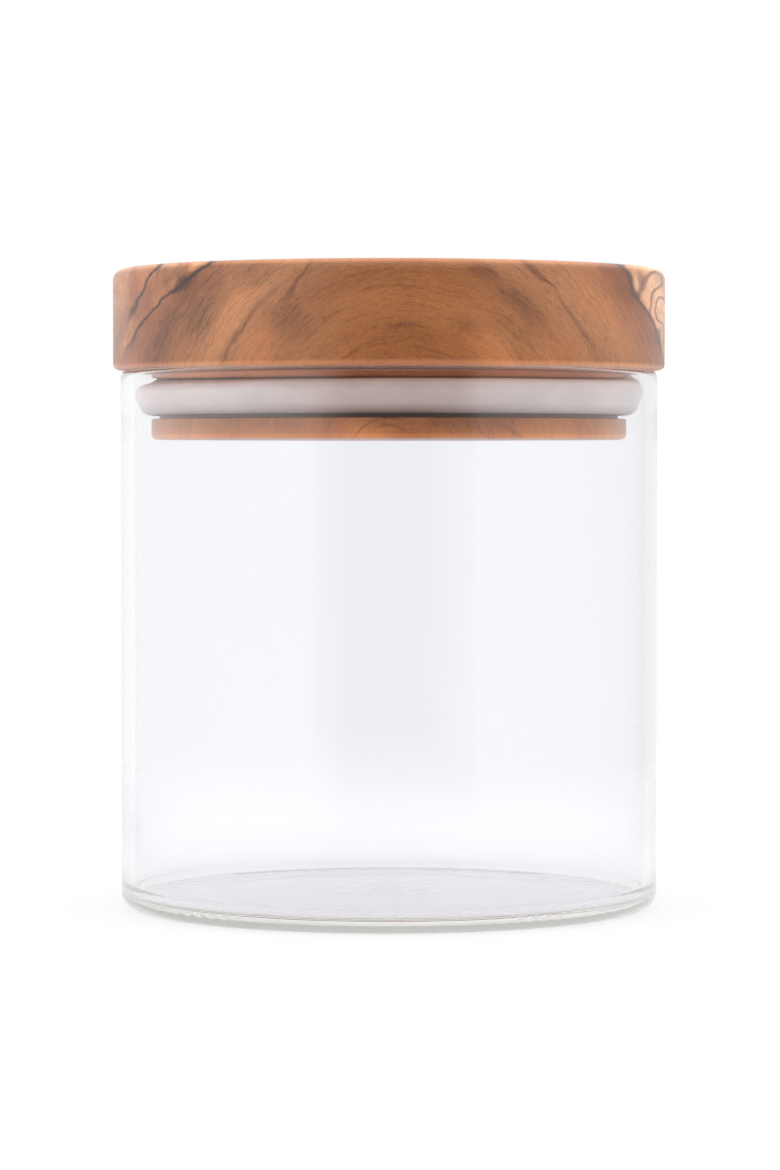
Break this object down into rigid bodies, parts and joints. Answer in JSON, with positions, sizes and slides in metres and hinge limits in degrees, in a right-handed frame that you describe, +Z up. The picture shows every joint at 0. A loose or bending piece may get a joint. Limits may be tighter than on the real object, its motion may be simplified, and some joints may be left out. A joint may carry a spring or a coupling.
{
  "type": "lidded glass canister",
  "caption": "Straight-sided clear glass storage jar with a turned wooden plug lid and a soft silicone seal ring that grips the inside of the jar's mouth.",
  "frame": {"origin": "centre of the jar's foot ring, on the surface that the canister stands on", "axes": "+Z up along the axis that the jar, lid and seal ring are turned about; X and Y are level, and -Y is the side that the picture shows"},
  "size_m": [0.1028, 0.1028, 0.1186],
  "materials": {
    "clear_glass": "clear, colourless, fire polished",
    "olive_wood": "turned, sanded and oiled, satin",
    "white_silicone": "smooth, slightly translucent, satin"
  },
  "bodies": {
    "jar": {"glass_jar": "clear_glass"},
    "seal": {"silicone_gasket": "white_silicone"},
    "lid": {"wooden_lid": "olive_wood"}
  },
  "joints": [
    {"name": "lid_lift", "type": "slide", "parent": "jar", "child": "seal", "axis": [0, 0, 1], "range_m": [0, 0.12]},
    {"name": "lid_turn", "type": "hinge", "parent": "seal", "child": "lid", "pos_m": [0, 0, 0.095], "axis": [0, 0, 1], "continuous": true}
  ]
}
